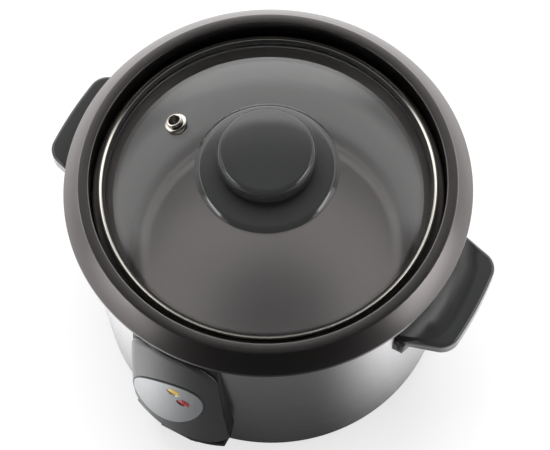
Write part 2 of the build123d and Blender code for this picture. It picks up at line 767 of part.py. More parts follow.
def make_lens(x, z):
    front = face_y(x, z)
    back = front + COVER_T + LENS_DOME
    lens = rod_along_y(LENS_R, back, front - LABEL_T, x, z)
    dome_r = (LENS_R**2 + LENS_DOME**2) / (2 * LENS_DOME)
    ball = Pos(x, front - LABEL_T - LENS_DOME + dome_r, z) * Sphere(dome_r)
    nose = rod_along_y(LENS_R, front - LABEL_T, front - LABEL_T - LENS_DOME, x, z)
    return lens + (nose & ball)


def make_lamp_board():
    x, z = board_mid()
    half_w = BOARD_W / 2
    half_h = BOARD_H / 2
    return block(x - half_w, x + half_w, BOARD_BACK_Y - BOARD_T, BOARD_BACK_Y, z - half_h, z + half_h)


def make_lamps():
    lamps = []
    for x, z in lens_places().values():
        tip = face_y(x, z) + COVER_T + LENS_DOME + WALL_CLEAR
        lamps.append(rod_along_y(LAMP_R, BOARD_BACK_Y - BOARD_T, tip, x, z))
    return Compound(lamps)


# Carry handles: ribbed slabs on a root that hugs the casing
def make_right_handle():
    tip = HANDLE_REACH - HANDLE_BOW
    edge = ThreePointArc((tip, -HANDLE_TIP_HALF_W), (HANDLE_REACH, 0), (tip, HANDLE_TIP_HALF_W))
    back = Polyline(edge @ 1, (0, HANDLE_AXIS_HALF_W), (0, -HANDLE_AXIS_HALF_W), edge @ 0)
    plan = make_face([edge, back])
    corners = plan.vertices().group_by(Axis.X)[-1]
    plan = fillet(corners, HANDLE_CORNER_R)
    low = HANDLE_TOP_Z - HANDLE_T
    slab = extrude(Pos(0, 0, low) * plan, HANDLE_T)
    pocket = extrude(Pos(0, 0, low) * offset(plan, -HANDLE_WALL), HANDLE_T - HANDLE_SKIN)
    for i in range(HANDLE_RIB_COUNT):
        y = (i - (HANDLE_RIB_COUNT - 1) / 2) * HANDLE_RIB_PITCH
        pocket -= block(0, HANDLE_REACH, y - HANDLE_WALL / 2, y + HANDLE_WALL / 2, low, HANDLE_TOP_Z)
    slab = fillet(slab.faces().sort_by(Axis.Z)[-1].edges(), HANDLE_TOP_EDGE_R)
    root_low = HANDLE_TOP_Z - HANDLE_ROOT_H
    half_w = HANDLE_ROOT_HALF_W
    root = block(0, RIM_R, -half_w, half_w, root_low, HANDLE_TOP_Z - HANDLE_TOP_EDGE_R)
    root &= casing_cone(HANDLE_ROOT_T)
    handle = (slab - (pocket - casing_cone(HANDLE_ROOT_T))) + root
    handle -= casing_cone(SEAT_CLEAR)
    for angle in handle_screw_angles():
        if abs(angle) < 90:
            handle -= handle_screw(angle, SCREW_CLEAR)
    return handle


def handle_screw(angle, extra):
    """Screw from inside the casing into the handle's root, grown by a clearance."""
    wall_r = casing_radius(handle_screw_z()) - CASING_T - WALL_CLEAR
    shank = HANDLE_SCREW_DEPTH + CASING_T + extra
    screw = Pos(wall_r + shank / 2, 0, 0) * Rot(0, 90, 0) * Cylinder(HANDLE_SCREW_R + extra, shank)
    head_x = wall_r - HANDLE_SCREW_HEAD_H / 2
    screw += Pos(head_x, 0, 0) * Rot(0, 90, 0) * Cylinder(HANDLE_SCREW_HEAD_R, HANDLE_SCREW_HEAD_H)
    return Pos(0, 0, handle_screw_z()) * Rot(0, 0, angle) * screw


def make_handle_screws():
    return Compound([handle_screw(angle, 0) for angle in handle_screw_angles()])


# Bowl and lid
def make_cooking_bowl():
    points = [
        (RIM_R, RIM_Z - RIM_LIP_H),
        (RIM_R, RIM_Z),
        (RING_OUT_R, RING_Z),
        (RECESS_R, RING_Z),
        (RECESS_R, LEDGE_Z),
        (BOWL_R, LEDGE_Z),
        (BOWL_R - BOWL_TAPER, BOWL_FLOOR_Z),
        (0, BOWL_FLOOR_Z),
    ]
    bends = [RIM_LIP_BEND, RIM_RING_BEND, RECESS_BEND, LEDGE_BEND, RECESS_BEND, BOWL_CORNER_R]
    return pressed_sheet(points, bends, BOWL_T, Side.LEFT)


def vent_plane():
    """Plane that lies on the lid's dome at the steam vent."""
    slope = asin(VENT_R / GLASS_DOME_R)
    turn = radians(VENT_ANGLE)
    place = (VENT_R * cos(turn), VENT_R * sin(turn), dome_height(VENT_R))
    normal = (sin(slope) * cos(turn), sin(slope) * sin(turn), cos(slope))
    return Plane(place, z_dir=normal)


def make_lid_glass():
    outer = dome_arc(KNOB_HOLE_R, GLASS_EDGE_R, 0)
    inner = dome_arc(KNOB_HOLE_R, GLASS_EDGE_R, -GLASS_T)
    section = make_face([outer, inner, Line(outer @ 0, inner @ 0), Line(outer @ 1, inner @ 1)])
    return spun(section) - vent_plane() * Cylinder(VENT_TUBE_R + WALL_CLEAR, 4 * GLASS_T)


def make_lid_steel_rim():
    top = dome_height(LID_LIP_IN_R) + LID_LIP_OVER + LID_LIP_DROP
    points = [
        (LID_LIP_IN_R, top - LID_LIP_DROP),
        (LID_RIM_R, top),
        (LID_RIM_R, LEDGE_Z),
        (LID_LIP_IN_R, LEDGE_Z),
    ]
    return pressed_sheet(points, [LID_RIM_BEND, LID_RIM_BEND], LID_RIM_T, Side.RIGHT)


def flange_crown(r):
    """Height of the knob flange's domed face at a radius."""
    edge_top = dome_height(KNOB_FLANGE_R) + KNOB_FLANGE_EDGE
    edge_drop = sqrt(KNOB_FLANGE_CROWN_R**2 - KNOB_FLANGE_R**2)
    return edge_top - edge_drop + sqrt(KNOB_FLANGE_CROWN_R**2 - r**2)


def make_knob_flange():
    pocket_r = KNOB_NECK_R + RUN_CLEAR
    under = dome_arc(KNOB_HOLE_R, KNOB_FLANGE_R, RUN_CLEAR)
    places = [(r, flange_crown(r)) for r in (KNOB_FLANGE_R, (KNOB_FLANGE_R + pocket_r) / 2, pocket_r)]
    crown = ThreePointArc(*places)
    pocket = Polyline(crown @ 1, (pocket_r, KNOB_SEAT_Z), (KNOB_HOLE_R, KNOB_SEAT_Z), under @ 0)
    section = make_face([under, Line(under @ 1, crown @ 0), crown, pocket])
    edge = section.vertices().group_by(Axis.X)[-1].sort_by(Axis.Y)[-1]
    return spun(fillet(edge, KNOB_FLANGE_ROUND))


def make_lid_knob():
    seat = KNOB_SEAT_Z
    under = flange_crown(0) + KNOB_NECK_H
    side = under + KNOB_UNDER_H
    shoulder = side + KNOB_SIDE_H
    crown_r = (KNOB_R**2 + KNOB_CROWN**2) / (2 * KNOB_CROWN)
    half_way = (KNOB_R / 2, shoulder + KNOB_CROWN - crown_r + sqrt(crown_r**2 - KNOB_R**2 / 4))
    crown = ThreePointArc((KNOB_R, shoulder), half_way, (0, shoulder + KNOB_CROWN))
    outline = Polyline(
        (0, shoulder + KNOB_CROWN),
        (0, seat),
        (KNOB_NECK_R, seat),
        (KNOB_NECK_R, under),
        (KNOB_UNDER_R, under),
        (KNOB_R, side),
        (KNOB_R, shoulder),
    )
    section = make_face([crown, outline])
    corner = section.vertices().group_by(Axis.X)[-1].sort_by(Axis.Y)[-1]
    knob = spun(fillet(corner, KNOB_EDGE_R))
    return knob - rod(KNOB_HOLE_R, seat, seat + KNOB_SCREW_DEPTH + SCREW_CLEAR)


def washer_low():
    return GLASS_TOP_Z - GLASS_T - SEAT_CLEAR - WASHER_T


def make_knob_washer():
    top = dome_arc(KNOB_HOLE_R, WASHER_R, -GLASS_T - SEAT_CLEAR)
    sides = Polyline(top @ 0, (KNOB_HOLE_R, washer_low()), (WASHER_R, washer_low()), top @ 1)
    return spun(make_face([top, sides]))


def make_knob_screw():
    head = rod(KNOB_SCREW_HEAD_R, washer_low() - KNOB_SCREW_HEAD_H, washer_low())
    head = fillet(head.edges().sort_by(Axis.Z)[0], KNOB_SCREW_ROUND)
    tip = KNOB_SEAT_Z + KNOB_SCREW_DEPTH
    return head + rod(KNOB_SCREW_R, washer_low(), tip)


def make_vent_eyelet():
    under = -GLASS_T - VENT_LIP_T - SEAT_CLEAR
    eyelet = Pos(0, 0, (under + VENT_H) / 2) * Cylinder(VENT_TUBE_R, VENT_H - under)
    eyelet += Pos(0, 0, SEAT_CLEAR + VENT_LIP_T) * Cylinder(VENT_FLANGE_R, 2 * VENT_LIP_T)
    eyelet += Pos(0, 0, under + VENT_LIP_T / 2) * Cylinder(VENT_FLANGE_R - VENT_LIP_T, VENT_LIP_T)
    eyelet -= Pos(0, 0, (under + VENT_H) / 2) * Cylinder(VENT_HOLE_R, VENT_H - under)
    return vent_plane() * eyelet


# Appliance inlet in the back of the casing
def inlet_back_y():
    return casing_radius(INLET_Z) - INLET_SOCKET_DEPTH


def inlet_pin_places():
    half = INLET_PIN_GAP / 2
    drop = INLET_EARTH_UP / 2
    return [(-half, INLET_Z - drop), (half, INLET_Z - drop), (0, INLET_Z + drop)]


def make_power_inlet():
    half_w = INLET_W / 2
    half_h = INLET_H / 2
    back = inlet_back_y()
    body = block(-half_w, half_w, back - INLET_BACK_T, RIM_R, INLET_Z - half_h, INLET_Z + half_h)
    wide = half_w + INLET_FLANGE_W
    tall = half_h + INLET_FLANGE_W
    plate = block(-wide, wide, 0, RIM_R, INLET_Z - tall, INLET_Z + tall) - casing_cone(SEAT_CLEAR)
    inlet = (body + plate) & casing_cone(INLET_FLANGE_T)
    in_w = half_w - INLET_WALL
    in_h = half_h - INLET_WALL
    socket = block(-in_w, in_w, back, RIM_R, INLET_Z - in_h, INLET_Z + in_h)
    socket = fillet(socket.edges().filter_by(Axis.Y), INLET_WALL)
    inlet -= socket
    for x, z in inlet_pin_places():
        inlet -= rod_along_y(INLET_PIN_R + RUN_CLEAR, back - INLET_BACK_T, back, x, z)
    return inlet


def make_inlet_pins():
    start = inlet_back_y() - INLET_BACK_T - INLET_PIN_TAIL
    end = inlet_back_y() + INLET_PIN_OUT
    return Compound([rod_along_y(INLET_PIN_R, start, end, x, z) for x, z in inlet_pin_places()])


def make_parts():
    """Every piece of the cooker, by name."""
    right_handle = make_right_handle()
    parts = {
        "base_plate": make_base_plate(),
        "feet": make_feet(),
        "base_screws": make_base_screws(),
        "outer_casing": make_casing(),
        "inner_pan": make_inner_pan(),
        "heater_plate": make_heater_plate(),
        "heater_terminals": make_heater_terminals(),
        "heater_posts": make_heater_posts(),
        "heater_screws": make_heater_screws(),
        "thermal_fuse": make_thermal_fuse(),
        "sensor_cap": make_sensor_cap(),
        "ferrite_disc": make_ferrite_disc(),
        "thermostat_tube": make_thermostat_tube(),
        "sensor_spring": make_sensor_spring(),
        "magnet": make_magnet(),
        "magnet_rod": make_magnet_rod(),
        "magnet_spring": make_magnet_spring(),
        "lever_arm": make_lever_arm(),
        "lever_paddle": make_lever_paddle(),
        "lever_bracket": make_lever_bracket(),
        "lever_pin": make_lever_pin(),
        "switch_body": make_switch_body(),
        "switch_plunger": make_switch_plunger(),
        "pod_frame": make_pod_frame(),
        "pod_cover": make_pod_cover(),
        "indicator_label": make_indicator_label(),
        "lamp_board": make_lamp_board(),
        "lamps": make_lamps(),
        "right_handle": right_handle,
        "left_handle": Rot(0, 0, 180) * right_handle,
        "handle_screws": make_handle_screws(),
        "power_inlet": make_power_inlet(),
        "inlet_pins": make_inlet_pins(),
        "cooking_bowl": make_cooking_bowl(),
        "lid_glass": make_lid_glass(),
        "lid_steel_rim": make_lid_steel_rim(),
        "knob_flange": make_knob_flange(),
        "lid_knob": make_lid_knob(),
        "knob_washer": make_knob_washer(),
        "knob_screw": make_knob_screw(),
        "vent_eyelet": make_vent_eyelet(),
    }
    for name, (x, z) in lens_places().items():
        parts[name] = make_lens(x, z)
    return parts


os.makedirs("parts", exist_ok=True)
for name, solid in make_parts().items():
    export_step(solid, f"parts/{name}.step")
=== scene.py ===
import json
from math import asin, cos, hypot, pi, radians, sin, sqrt, tan

import bmesh
import bpy
from mathutils import Matrix, Vector


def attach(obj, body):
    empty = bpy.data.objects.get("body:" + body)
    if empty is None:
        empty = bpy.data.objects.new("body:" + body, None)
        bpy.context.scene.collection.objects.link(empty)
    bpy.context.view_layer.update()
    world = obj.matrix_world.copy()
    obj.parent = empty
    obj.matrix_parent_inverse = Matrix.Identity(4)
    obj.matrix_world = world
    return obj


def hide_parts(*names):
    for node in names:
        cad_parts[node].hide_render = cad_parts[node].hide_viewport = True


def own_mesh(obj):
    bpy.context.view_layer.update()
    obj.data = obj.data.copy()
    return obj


# An electric cooker with a lift-out bowl under a glass lid, dressed for a product picture.
# Sizes are in millimetres, +Z up, with the origin on the ground below the bowl's axis.
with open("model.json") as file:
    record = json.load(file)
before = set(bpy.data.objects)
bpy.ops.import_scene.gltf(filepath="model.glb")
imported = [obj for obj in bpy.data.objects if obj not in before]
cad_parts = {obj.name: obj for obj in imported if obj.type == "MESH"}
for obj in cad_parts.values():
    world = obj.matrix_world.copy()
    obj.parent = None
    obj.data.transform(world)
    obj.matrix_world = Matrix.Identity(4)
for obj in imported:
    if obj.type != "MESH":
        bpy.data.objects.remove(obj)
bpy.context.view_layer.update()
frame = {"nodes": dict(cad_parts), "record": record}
MM = 0.001

# Bowl, casing and lid
RIM_R = 119.96
RIM_LOW_Z = 155.2
RIM_Z = 157.2
RIM_LIP_BEND = 1.0
RING_OUT_R = 110.6
RING_Z = 166.9
RING_BEND = 1.2
RECESS_R = 104.3
RECESS_TOP_BEND = 0.6
RECESS_FOOT_BEND = 2.2
LEDGE_Z = 151.0
LEDGE_BEND = 1.5
BOWL_R = 95.0
BOWL_FLOOR_R = 87.0
BOWL_FLOOR_Z = 65.2
BOWL_CORNER_R = 12.0
BOWL_T = 1.5
COAT_CHANGE_Z = (149.5, 147.5)
CASING_Z = 6.2
CASING_TOP_Z = 158.2
CASING_BOTTOM_R = 108.6
CASING_BOTTOM_BEND = 4.0
CASING_TOP_R = 113.5
CASING_TOP_BEND = 3.0
CASING_COLLAR_R = 108.8
CASING_FLANGE_R = 96.6
CASING_T = 0.8
INLET_HOLE = (15.2, 12.8, 37.2)  # half width, low and high edge
LEVER_SLOT = (5.5, 8.4, 18.5)
GLASS_DOME_R = 190.0
GLASS_TOP_Z = 182.4
GLASS_T = 3.8
GLASS_EDGE_R = 96.0
LID_RIM_R = 99.5
LID_RIM_TOP_Z = 161.4
LID_RIM_TOP_BEND = 1.2
LID_RIM_FOOT_BEND = 1.1
LID_LIP_R = 95.4
LID_LIP_Z = 157.7
LID_RIM_T = 0.7
# Radii, in mm, where the black ring painted on the lid lip's inner edge fades in and fades out
DARK_RING_IN_R = (90.0, 90.5)
DARK_RING_OUT_R = (97.4, 97.0)

# Knob and vent
SCREW_R = 2.6
FLANGE_R = 41.9
FLANGE_EDGE_H = 2.2
FLANGE_SIDE_H = 0.5
FLANGE_SIDE_BEND = 0.4
FLANGE_SLOPE_W = 2.8
FLANGE_SLOPE_BEND = 2.0
FLANGE_CROWN_R = 170.0
FLANGE_GAP = 0.05
NECK_R = 17.0
KNOB_SEAT_Z = 183.6
KNOB_R = 28.4
KNOB_UNDER_R = 25.0
KNOB_UNDER_Z = 188.2
KNOB_SIDE_Z = 189.8
KNOB_SIDE_BEND = 0.8
KNOB_SHOULDER_Z = 199.8
KNOB_TOP_Z = 203.77
KNOB_EDGE_R = 5.0
VENT_R = 62.3
VENT_ANGLE = 177.5
EYELET_BORE_R = 3.4
EYELET_TUBE_R = 4.8
EYELET_TOP = 4.4
EYELET_COLLAR_R = 6.7
EYELET_COLLAR_LOW = 0.1
EYELET_COLLAR_TOP = 1.9
EYELET_NUT_R = 5.8
EYELET_NUT_LOW = -4.8
EYELET_NUT_TOP = -3.9
EYELET_ROUND = 0.6
EYELET_COLLAR_ROUND = 0.3
EYELET_MOUTH_ROUND = 0.5

# Control pod
POD_AXIS_Y = -57.3
POD_TOP = (62.0, 151.5)
POD_FACE = (67.6, 95.2)
POD_WAIST = (68.7, 39.0)
COVER_T = 2.4
COVER_TOP_Z = 149.0
COVER_BOTTOM_Z = 39.0
COVER_TOP_HALF_W = 27.4
COVER_BOTTOM_HALF_W = 34.0
COVER_CORNER_R = 24.0
COVER_FOOT_CORNER_R = 10.0
COVER_ROLL_W = 4.5
COVER_ROLL_DEPTH = 1.9
COVER_COLUMNS = 80
COVER_ROWS = 96
LABEL_X = -4.1
LABEL_Z = 84.7
LABEL_HALF_L = 37.0
LABEL_HALF_W = 21.0
LABEL_TURN = 59.0
LABEL_LINE = (0.955, 0.975)  # shares of the way out to the oval's outline
LABEL_DEPTH = 1000.0  # so deep that only the front view of the oval counts

# Steps round a turned form, and points along its curves
BODY_STEPS = 192
GLASS_STEPS = 160
KNOB_STEPS = 128
EYELET_STEPS = 64
GLASS_POINTS = 24
FLANGE_POINTS = 10
FLANGE_UNDER_POINTS = 12
KNOB_POINTS = 12
NEAR = 0.01
WELD = 0.001

# CAD nodes shown in their own form, with their curves made smooth
SMOOTHED_NODES = (
    "right_handle",
    "left_handle",
    "pod_frame",
    "indicator_label",
    "lens_amber",
    "lens_red",
    "lever_paddle",
    "power_inlet",
    "feet",
    "base_plate",
)
SMOOTHED_SHARP = 50.0


class Value:
    """A shader value that takes part in Python sums: each sum adds its Math node."""

    def __init__(self, finish, socket):
        self.finish = finish
        self.socket = socket

    def math(self, operation, first, second):
        return self.finish.node("ShaderNodeMath", {"operation": operation}, {0: first, 1: second})

    def __add__(self, other):
        return self.math("ADD", self, other)

    def __radd__(self, other):
        return self.math("ADD", other, self)

    def __rsub__(self, other):
        return self.math("SUBTRACT", other, self)

    def __mul__(self, other):
        return self.math("MULTIPLY", self, other)

    def __rmul__(self, other):
        return self.math("MULTIPLY", other, self)


class Finish:
    """A procedural finish: node expressions that feed a shader."""

    def __init__(self, name, tree=None):
        if tree is None:
            self.material = bpy.data.materials.new(name)
            self.material.use_nodes = True
            tree = self.material.node_tree
        self.tree = tree

    def node(self, kind, settings=None, inputs=None, output=0):
        """Add a node, give it its settings, then its values and links, and return one output."""
        made = self.tree.nodes.new(kind)
        for name, value in (settings or {}).items():
            setattr(made, name, value)
        for name, value in (inputs or {}).items():
            self.plug(made.inputs[name], value)
        return Value(self, made.outputs[output])

    def plug(self, socket, value):
        if isinstance(value, Value):
            self.tree.links.new(value.socket, socket)
        else:
            socket.default_value = value

    def surface(self, **inputs):
        """Feed the Principled shader; a socket's spaces are written as underscores."""
        shader = self.tree.nodes["Principled BSDF"]
        for name, value in inputs.items():
            self.plug(shader.inputs[name.replace("_", " ")], value)
        return self.material

    def principled(self):
        """The Principled shader, as a value."""
        return Value(self, self.tree.nodes["Principled BSDF"].outputs[0])

    def mixed(self, share, first, second):
        """Show a mix of two shaders."""
        both = self.node("ShaderNodeMixShader", inputs={0: share, 1: first, 2: second})
        return self.show(both)

    def show(self, shader):
        """Show a shader in place of the Principled one."""
        self.plug(self.tree.nodes["Material Output"].inputs["Surface"], shader)
        return self.material

    def place(self):
        """Object coordinates: metres in the shared frame."""
        return self.node("ShaderNodeTexCoord", output="Object")

    def length(self, vector):
        return self.node("ShaderNodeVectorMath", {"operation": "LENGTH"}, {0: vector}, output="Value")

    def spot(self, stretch=(1, 1, 1)):
        """Object coordinates, stretched."""
        return self.node("ShaderNodeMapping", inputs={"Vector": self.place(), "Scale": stretch})

    def noise(self, scale, detail=2.0, stretch=(1, 1, 1)):
        sizes = {"Vector": self.spot(stretch), "Scale": scale, "Detail": detail}
        return self.node("ShaderNodeTexNoise", inputs=sizes)

    def flecks(self, scale):
        """Random brightness, one value for each small grain."""
        sizes = {"Vector": self.spot(), "Scale": scale}
        return self.node("ShaderNodeTexVoronoi", inputs=sizes, output="Color")

    def blend(self, share, first, second):
        """Mix two colours, each written out or a value."""
        ends = [end if isinstance(end, Value) else (*end, 1) for end in (first, second)]
        colours = {0: share, 6: ends[0], 7: ends[1]}
        return self.node("ShaderNodeMix", {"data_type": "RGBA"}, colours, output=2)

    def ramp(self, value, low, high):
        """Rise smoothly from 0 at one value to 1 at another."""
        ends = {"Value": value, "From Min": low, "From Max": high}
        return self.node("ShaderNodeMapRange", {"interpolation_type": "SMOOTHSTEP"}, ends)

    def facing(self, way):
        """How far the direction from the origin to this spot leans along a way, from -1 to 1."""
        unit = self.node("ShaderNodeVectorMath", {"operation": "NORMALIZE"}, {0: self.place()})
        both = {0: unit, 1: way}
        return self.node("ShaderNodeVectorMath", {"operation": "DOT_PRODUCT"}, both, output="Value")

    def height(self):
        """Height above the ground."""
        return self.node("ShaderNodeSeparateXYZ", inputs={0: self.place()}, output="Z")

    def axis_distance(self):
        """Distance from the cooker's axis."""
        return self.length(self.spot((1, 1, 0)))

    def oval_distance(self):
        """Distance from the middle of the label's oval, 1 on its outline."""
        oval = {
            "Vector": self.place(),
            "Location": (LABEL_X * MM, 0, LABEL_Z * MM),
            "Rotation": (0, -radians(LABEL_TURN), 0),
            "Scale": (LABEL_HALF_L * MM, LABEL_DEPTH, LABEL_HALF_W * MM),
        }
        return self.length(self.node("ShaderNodeMapping", {"vector_type": "TEXTURE"}, oval))

    def relief(self, height, depth, strength):
        """Bumps of a depth in metres."""
        sizes = {"Height": height, "Distance": depth, "Strength": strength}
        return self.node("ShaderNodeBump", inputs=sizes)


def coated_metal():
    """Dark non-stick coat with metal flake in it, satin on the rim and duller below the ledge."""
    coat = Finish("coated_bowl")
    start, full = COAT_CHANGE_Z
    below = coat.ramp(coat.height(), start * MM, full * MM)
    flake = coat.ramp(coat.flecks(3000), 0.80, 1.0) * coat.noise(900)
    cloud = coat.noise(18, 4)
    mix = 0.3 * cloud + 0.12 * flake
    rim = coat.blend(mix, (0.195, 0.183, 0.18), (0.27, 0.255, 0.25))
    inside = coat.blend(mix, (0.175, 0.158, 0.154), (0.25, 0.228, 0.222))
    return coat.surface(
        Base_Color=coat.blend(below, rim, inside),
        Metallic=1.0 - 0.25 * below,
        Roughness=0.30 + 0.02 * coat.noise(700),
        Normal=coat.relief(coat.noise(1500, 3), 0.000004, 0.03),
    )


def satin_steel():
    """Stainless sheet with faint lines that run round the body."""
    steel = Finish("steel_casing")
    lines = steel.noise(1.0, 3, (3, 3, 2600))
    return steel.surface(
        Base_Color=steel.blend(lines, (0.68, 0.675, 0.69), (0.76, 0.755, 0.765)),
        Metallic=1.0,
        Roughness=0.24 + 0.10 * lines,
        Normal=steel.relief(lines, 0.00002, 0.3),
    )


def bright_steel():
    """Polished steel with faint handling marks, and a black ring painted on the lip's inner edge, next
    to the glass.
    """
    steel = Finish("lid_steel")
    smear = steel.noise(60, 4)
    out = steel.axis_distance()
    inner, outer = ([end * MM for end in ends] for ends in (DARK_RING_IN_R, DARK_RING_OUT_R))
    # Black ring painted on the lip's inner edge, next to the glass: black colour, no metal and a
    # rougher finish there
    dark_ring = steel.ramp(out, *inner) * steel.ramp(out, *outer)
    metal = steel.blend(smear, (0.54, 0.515, 0.475), (0.46, 0.44, 0.40))
    return steel.surface(
        Base_Color=steel.blend(dark_ring, metal, (0.006, 0.006, 0.006)),
        Metallic=1.0 - dark_ring,
        Roughness=0.10 + 0.08 * smear + 0.4 * dark_ring,
    )


def moulded_plastic(name, colour, shine, grain):
    """Moulded plastic with a spark-eroded grain."""
    plastic = Finish(name)
    cloud = plastic.noise(25, 3)
    paler = tuple(1.06 * c for c in colour)
    return plastic.surface(
        Base_Color=plastic.blend(cloud, colour, paler),
        Roughness=shine + 0.02 * plastic.noise(400),
        IOR=1.58,
        Normal=plastic.relief(plastic.noise(1600, 3), grain, 0.05),
    )


def clear_glass():
    """Tempered lid glass, faintly grey, that lets light through to the bowl."""
    glass = Finish("lid_glass")
    glass.surface(
        Base_Color=(0.93, 0.94, 0.94, 1),
        Roughness=0.015 * glass.noise(8, 2),
        Transmission_Weight=1.0,
        IOR=1.48,
    )
    shadow = glass.node("ShaderNodeLightPath", output="Is Shadow Ray")
    open_way = glass.node("ShaderNodeBsdfTransparent", inputs={"Color": (0.86, 0.87, 0.87, 1)})
    return glass.mixed(shadow, glass.principled(), open_way)


def satin_label():
    """Silver panel skin with a fine pearl grain and a thin dark line round its oval."""
    label = Finish("label_silver")
    grain = label.noise(2200, 3)
    line = label.ramp(label.oval_distance(), *LABEL_LINE)
    silver = label.blend(grain, (0.58, 0.60, 0.62), (0.66, 0.68, 0.70))
    return label.surface(
        Base_Color=label.blend(line, silver, (0.05, 0.052, 0.052)),
        Metallic=0.85 - 0.85 * line,
        Roughness=0.20 + 0.06 * grain + 0.2 * line,
    )


def lens_plastic(name, colour):
    """Clear coloured lens with a frosted core."""
    lens = Finish(name)
    core = lens.noise(500, 2)
    return lens.surface(
        Base_Color=lens.blend(core, colour, tuple(min(1.0, 1.3 * c + 0.02) for c in colour)),
        Roughness=0.12 + 0.10 * core,
        Coat_Weight=0.6,
        Coat_Roughness=0.05,
    )


def plain_finish(name, colour, rough, metal=0.0, scale=300, depth=0.00004):
    """Working surface of an inner or under piece: mottled colour and a fine grain."""
    plain = Finish(name)
    mottle = plain.noise(40, 4)
    grain = plain.noise(scale, 3)
    return plain.surface(
        Base_Color=plain.blend(mottle, colour, tuple(0.75 * c for c in colour)),
        Metallic=metal,
        Roughness=rough + 0.12 * grain,
        Normal=plain.relief(grain, depth, 0.5),
    )


FINISHES = {
    "steel_casing": satin_steel(),
    "black_plastic": moulded_plastic("black_plastic", (0.012, 0.012, 0.012), 0.42, 0.00004),
    "grey_plastic": moulded_plastic("grey_plastic", (0.029, 0.0305, 0.0292), 0.10, 0.000004),
    "coated_bowl": coated_metal(),
    "lid_glass": clear_glass(),
    "lid_steel": bright_steel(),
    "label_silver": satin_label(),
    "amber_lens": lens_plastic("amber_lens", (0.78, 0.52, 0.12)),
    "red_lens": lens_plastic("red_lens", (0.38, 0.03, 0.035)),
    "rubber": plain_finish("rubber", (0.025, 0.025, 0.025), 0.7),
    "plated_steel": plain_finish("plated_steel", (0.58, 0.58, 0.57), 0.32, 1.0, 500, 0.00002),
    "pan_aluminium": plain_finish("pan_aluminium", (0.70, 0.70, 0.69), 0.36, 1.0, 200, 0.00003),
    "heater_alloy": plain_finish("heater_alloy", (0.60, 0.60, 0.58), 0.46, 1.0, 700, 0.00006),
    "ferrite": plain_finish("ferrite", (0.055, 0.055, 0.06), 0.5),
    "ceramic": plain_finish("ceramic", (0.72, 0.70, 0.64), 0.5),
    "brass": plain_finish("brass", (0.70, 0.60, 0.38), 0.28, 1.0, 500, 0.00002),
    "switch_plastic": plain_finish("switch_plastic", (0.06, 0.06, 0.06), 0.45),
    "board": plain_finish("board", (0.32, 0.22, 0.10), 0.55),
    "lamp_glass": plain_finish("lamp_glass", (0.75, 0.70, 0.60), 0.15),
    "silicone": plain_finish("silicone", (0.50, 0.50, 0.48), 0.5),
}
NODE_SLOT = {part["node"]: part["material_slot"] for part in frame["record"]["subparts"]}
BODY_NODES = frame["record"]["behaviour"]["bodies"]
NODE_BODY = {node: body for body, nodes in BODY_NODES.items() for node in nodes}


def dress_cad_nodes():
    """Give every carried-over CAD node the finish of its slot."""
    for name, node in frame["nodes"].items():
        node.data.materials.clear()
        node.data.materials.append(FINISHES[NODE_SLOT[name]])


def add_object(name, data):
    """Add a mesh, lamp or camera to the scene, at the origin."""
    made = bpy.data.objects.new(name, data)
    bpy.context.scene.collection.objects.link(made)
    return made


def put_in_place(bm, node, sharp=35.0):
    """Make a modelled form, in millimetres, the piece that stands for a CAD node."""
    bmesh.ops.scale(bm, vec=(MM, MM, MM), verts=bm.verts)
    for face in bm.faces:
        face.smooth = True
    mesh = bpy.data.meshes.new(node + "_form")
    bm.to_mesh(mesh)
    bm.free()
    mesh.set_sharp_from_angle(angle=radians(sharp))
    mesh.materials.append(FINISHES[NODE_SLOT[node]])
    piece = add_object(node + "_form", mesh)
    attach(piece, NODE_BODY[node])
    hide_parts(node)
    return piece


def smooth_copy(node, sharp=35.0):
    """A CAD node's own form with its loose triangles joined, so that its curves shade smoothly."""
    bm = bmesh.new()
    bm.from_mesh(frame["nodes"][node].data)
    bmesh.ops.remove_doubles(bm, verts=bm.verts, dist=WELD * MM)
    bmesh.ops.scale(bm, vec=(1 / MM, 1 / MM, 1 / MM), verts=bm.verts)
    return put_in_place(bm, node, sharp)


def make_springs():
    """Coil springs as smoothed copies, each with a mesh of its own; the share of its length a spring
    would keep at full travel is worked out but not used.
    """
    for joint in frame["record"]["behaviour"]["joints"]:
        travel = max(abs(end) for end in joint.get("range_m", (0,)))
        for spring in joint.get("deforming_nodes", ()):
            piece = smooth_copy(spring["node"])
            heights = [vert.co.z for vert in piece.data.vertices]
            keep = 1 - travel / (max(heights) - min(heights))
            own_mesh(piece)


def ring_edges(bm, r, z):
    """The edges of a turned form that run round at a radius and height."""

    def on_ring(v):
        return abs(hypot(v.co.x, v.co.y) - r) < NEAR and abs(v.co.z - z) < NEAR

    return [e for e in bm.edges if all(on_ring(v) for v in e.verts)]


def turned(outline, bends, steps, closed=False):
    """Spin an outline of (radius, height) points; bends gives a corner's round by its place."""
    bm = bmesh.new()
    verts = [bm.verts.new((r, 0, z)) for r, z in outline]
    pairs = list(zip(verts, verts[1:])) + ([(verts[-1], verts[0])] if closed else [])
    edges = [bm.edges.new(pair) for pair in pairs]
    bmesh.ops.spin(bm, geom=verts + edges, axis=(0, 0, 1), angle=2 * pi, steps=steps, use_merge=True)
    bmesh.ops.remove_doubles(bm, verts=bm.verts, dist=WELD)
    for place, radius in bends.items():
        before = Vector(outline[place]) - Vector(outline[place - 1])
        after = Vector(outline[(place + 1) % len(outline)]) - Vector(outline[place])
        reach = radius * tan(before.angle(after) / 2)
        bmesh.ops.bevel(bm, geom=ring_edges(bm, *outline[place]), offset=reach, affect="EDGES",
                        segments=max(3, int(radius)), profile=0.5, material=-1, clamp_overlap=False)
    bmesh.ops.recalc_face_normals(bm, faces=bm.faces)
    return bm


def sheet_wall(bm, thickness):
    """Give a turned skin its wall, on the far side of the face that shows."""
    bmesh.ops.solidify(bm, geom=bm.faces[:], thickness=thickness)
    bmesh.ops.recalc_face_normals(bm, faces=bm.faces)


